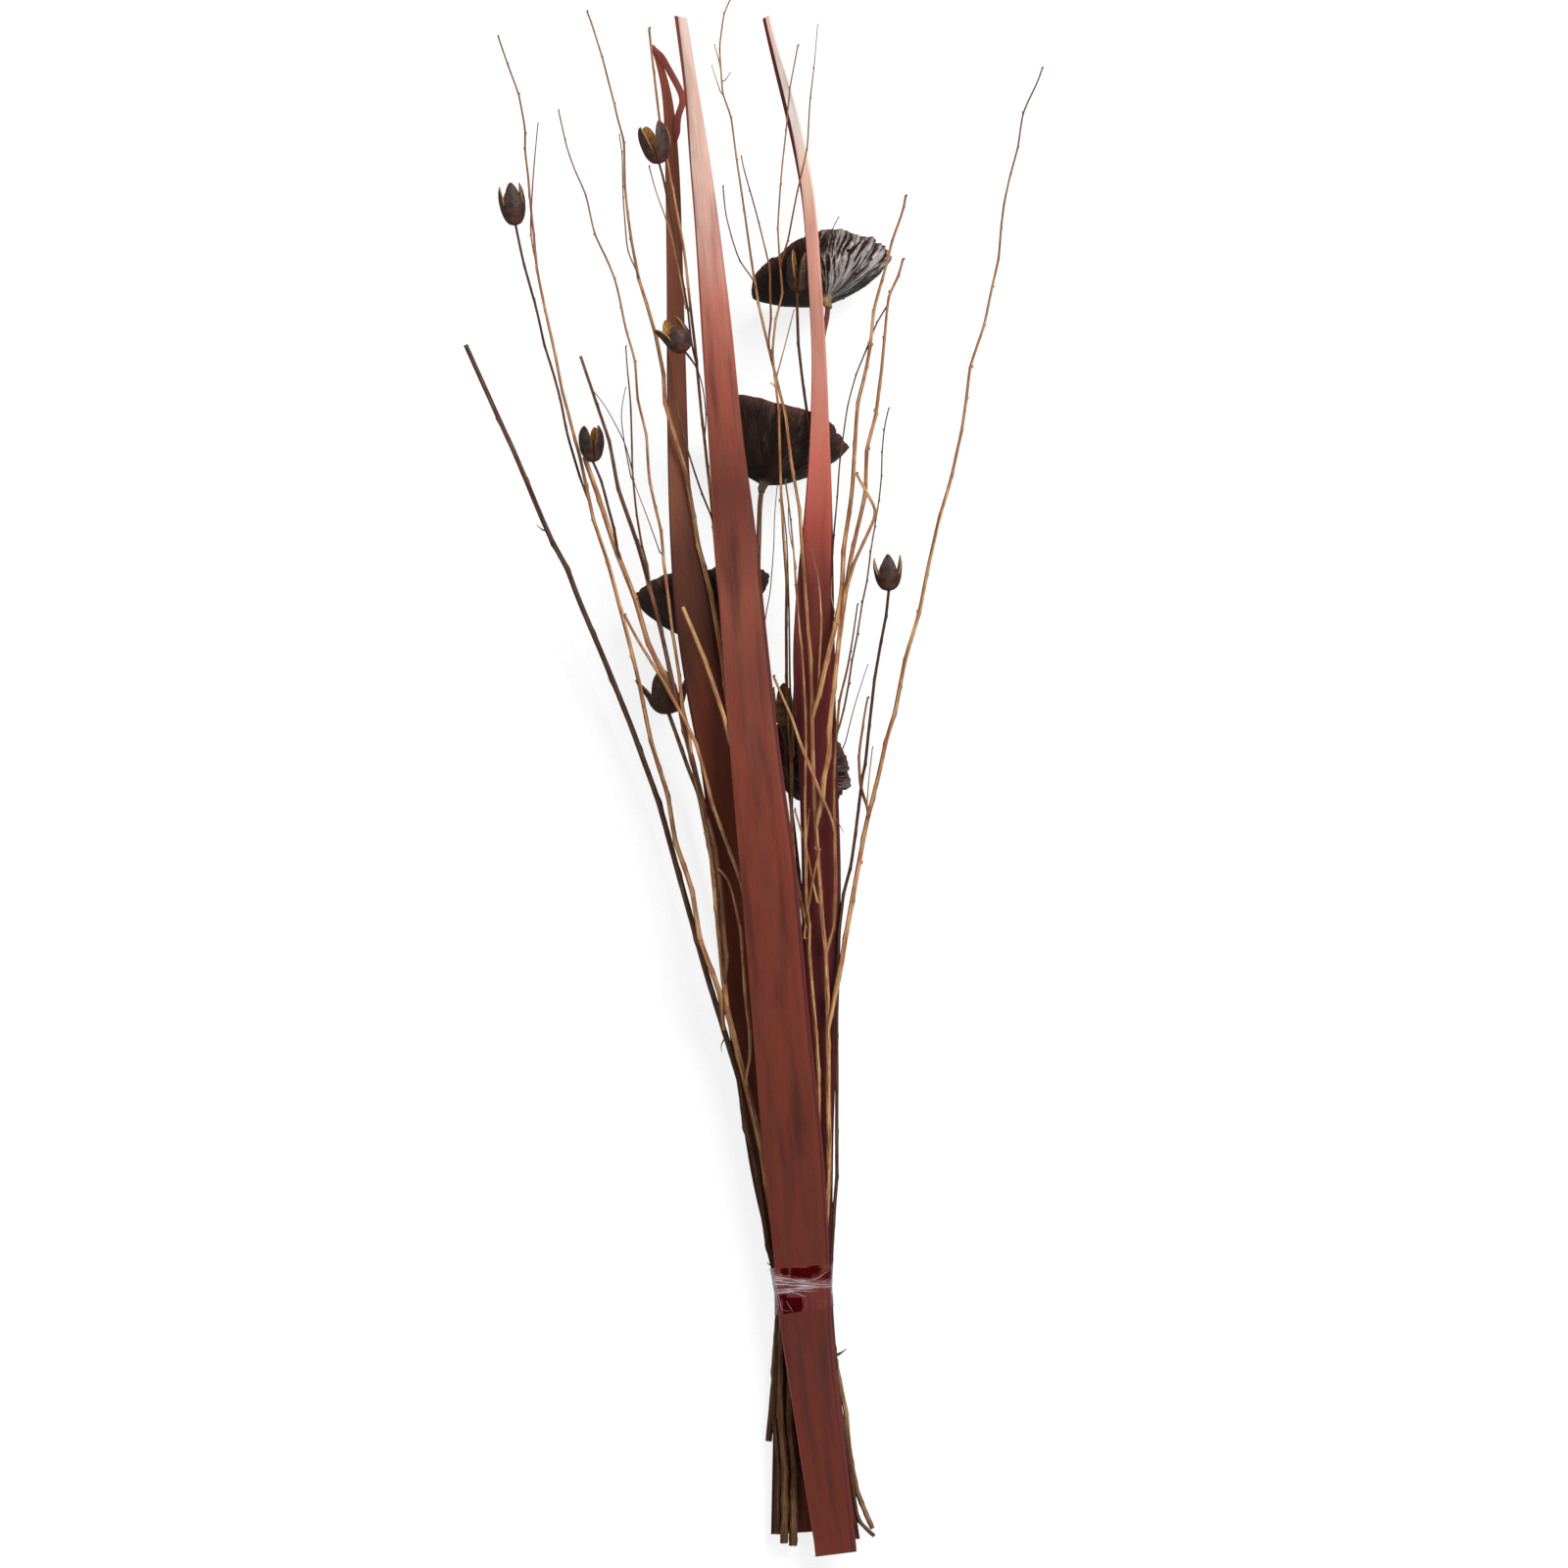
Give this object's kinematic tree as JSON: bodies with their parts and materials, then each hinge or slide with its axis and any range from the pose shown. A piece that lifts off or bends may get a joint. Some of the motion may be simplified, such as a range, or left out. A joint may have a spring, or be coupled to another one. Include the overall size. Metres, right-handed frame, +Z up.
{
  "type": "bunch of dried lotus pods",
  "caption": "Long lying bunch of dried lotus pods, split seed capsules, knotty twigs and leaf blades, bound near the cut ends with clear film, for a floor vase or a shelf.",
  "frame": {"origin": "middle of the bunch's footprint, on the surface that it lies on", "axes": "+Y from the cut ends to the tips, +Z up, +X to the right as seen from above"},
  "size_m": [0.4484, 1.2002, 0.1604],
  "materials": {
    "lotus_pod": "dry brown-black husk with fine ridges and a dull sheen",
    "lotus_stem": "dry dark brown stalk, matt",
    "capsule": "chocolate brown woody husk, golden tan inside, matt",
    "stalk": "dark woody stalk, matt",
    "twig": "golden tan bark with buds and nodes, satin",
    "twig_dark": "dark brown bark with buds and nodes, matt",
    "leaf_red": "dry leaf, red-brown, paler towards the tip, satin",
    "leaf_brown": "dry leaf, dark red-brown, matt",
    "film": "clear wrinkled film"
  },
  "bodies": {
    "root": {"capsule_stalk_1": "stalk", "capsule_stalk_2": "stalk", "capsule_stalk_3": "stalk", "capsule_stalk_4": "stalk", "capsule_stalk_5": "stalk", "capsule_stalk_6": "stalk", "capsule_stalk_7": "stalk", "capsule_stalk_8": "stalk", "leaf_blade_front": "leaf_red", "leaf_blade_left": "leaf_brown", "leaf_blade_right": "leaf_red", "lotus_pod_1": "lotus_pod", "lotus_pod_2": "lotus_pod", "lotus_pod_3": "lotus_pod", "lotus_pod_4": "lotus_pod", "lotus_stem_1": "lotus_stem", "lotus_stem_2": "lotus_stem", "lotus_stem_3": "lotus_stem", "lotus_stem_4": "lotus_stem", "seed_capsule_1": "capsule", "seed_capsule_2": "capsule", "seed_capsule_3": "capsule", "seed_capsule_4": "capsule", "seed_capsule_5": "capsule", "seed_capsule_6": "capsule", "seed_capsule_7": "capsule", "seed_capsule_8": "capsule", "tie_film": "film", "twig_bow": "twig", "twig_broken": "twig", "twig_centre_long": "twig", "twig_centre_main": "twig", "twig_centre_red": "twig_dark", "twig_centre_strand": "twig", "twig_centre_whip": "twig", "twig_cut_short": "twig", "twig_far_fork": "twig", "twig_far_right": "twig", "twig_fork_right": "twig", "twig_left_brown": "twig_dark", "twig_left_cross": "twig", "twig_left_dark": "twig_dark", "twig_left_fork": "twig", "twig_left_golden": "twig", "twig_left_long": "twig", "twig_left_main": "twig", "twig_left_thin": "twig_dark", "twig_loop": "twig", "twig_right_edge": "twig", "twig_right_golden": "twig", "twig_right_inner": "twig", "twig_right_long": "twig", "twig_right_main": "twig", "twig_right_slim": "twig", "twig_right_thorny": "twig_dark", "twig_right_whip": "twig", "twig_slanting": "twig", "twig_thin_right": "twig"}
  },
  "joints": []
}
